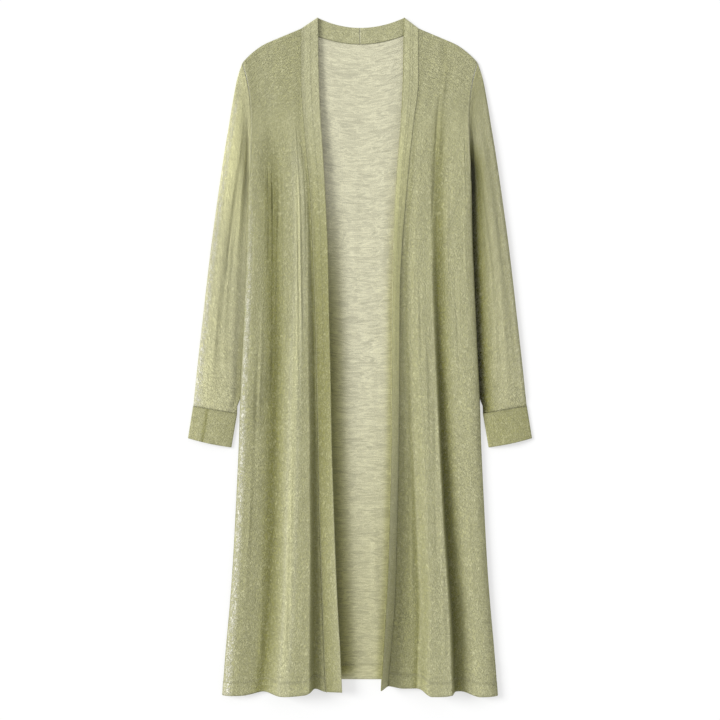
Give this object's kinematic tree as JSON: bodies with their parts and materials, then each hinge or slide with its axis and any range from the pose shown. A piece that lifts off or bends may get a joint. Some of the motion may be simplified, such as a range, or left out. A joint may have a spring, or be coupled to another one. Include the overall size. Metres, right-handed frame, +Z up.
{
  "type": "duster cardigan",
  "caption": "Open-front long cardigan of fine linen knit, laid flat on its back, with long cuffed sleeves, a narrow front and neck band and soft lengthwise folds.",
  "frame": {"origin": "middle of the underside where the garment rests, at the centre of its length and width", "axes": "+X across to the wearer's left, +Y along the garment from hem to neck, +Z up from the surface it lies on"},
  "size_m": [0.5668, 1.1172, 0.0332],
  "materials": {
    "knit": "sheer slubbed linen knit, light sage green",
    "knit_double": "the same knit doubled, so denser and darker"
  },
  "bodies": {
    "root": {"back_panel": "knit", "front_right": "knit", "band_right": "knit_double", "sleeve_right": "knit", "cuff_right": "knit_double", "front_left": "knit", "band_left": "knit_double", "sleeve_left": "knit", "cuff_left": "knit_double"}
  },
  "joints": []
}
